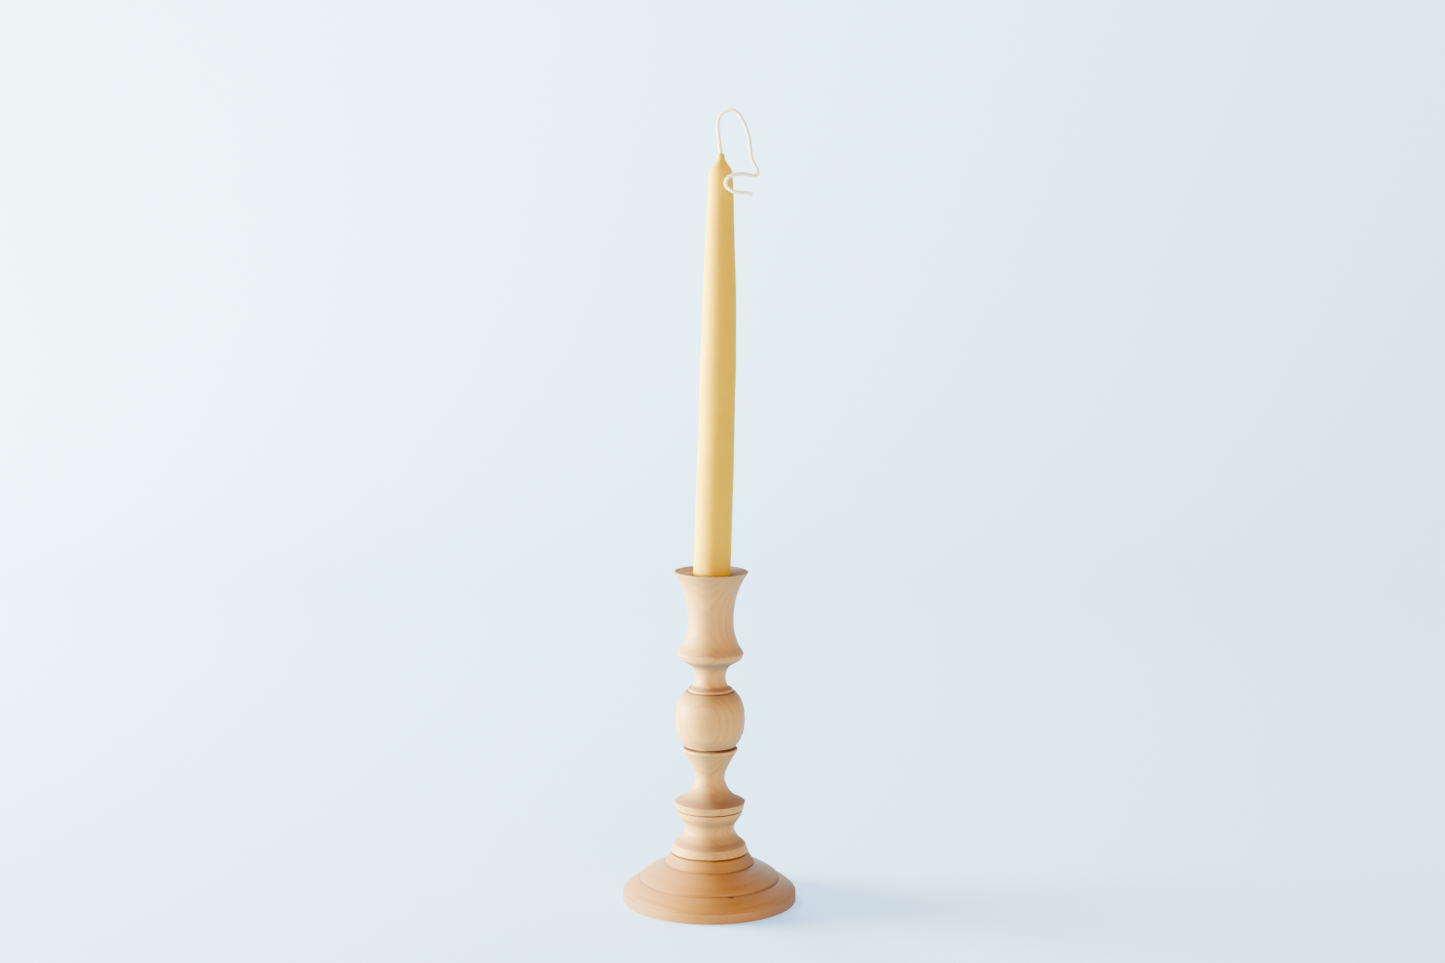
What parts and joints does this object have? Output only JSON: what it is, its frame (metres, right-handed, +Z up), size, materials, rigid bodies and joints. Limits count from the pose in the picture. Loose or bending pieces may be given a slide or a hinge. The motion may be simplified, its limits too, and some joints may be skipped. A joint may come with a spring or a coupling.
{
  "type": "candlestick",
  "caption": "Turned wooden candlestick with a stepped round foot, baluster and ball stem and a flared cup holding a leaning wax taper with a long curled wick.",
  "frame": {"origin": "centre of the flat underside, on the turning axis, where the foot stands on a table", "axes": "+Z up along the turning axis, +X towards the side that the candle leans to, -Y towards the front"},
  "size_m": [0.103, 0.103, 0.4669],
  "materials": {
    "foot_wood": "satin waxed maple, warmer board-cut grain",
    "stem_wood": "satin waxed maple, fine turned grain",
    "dowel_wood": "raw birch",
    "wax": "translucent yellow candle wax, hand dipped",
    "wick_cotton": "wax-primed braided cotton"
  },
  "bodies": {
    "stand": {"turned_base": "foot_wood", "pedestal_turning": "stem_wood", "baluster_turning": "stem_wood", "cup_turning": "stem_wood", "lower_dowel": "dowel_wood", "upper_dowel": "dowel_wood"},
    "candle": {"candle_wax": "wax", "wick_core": "wick_cotton", "wick_end": "wick_cotton"}
  },
  "joints": [
    {"name": "candle_lift", "type": "slide", "parent": "stand", "child": "candle", "axis": [0, 0, 1], "range_m": [0, 0.06]}
  ]
}
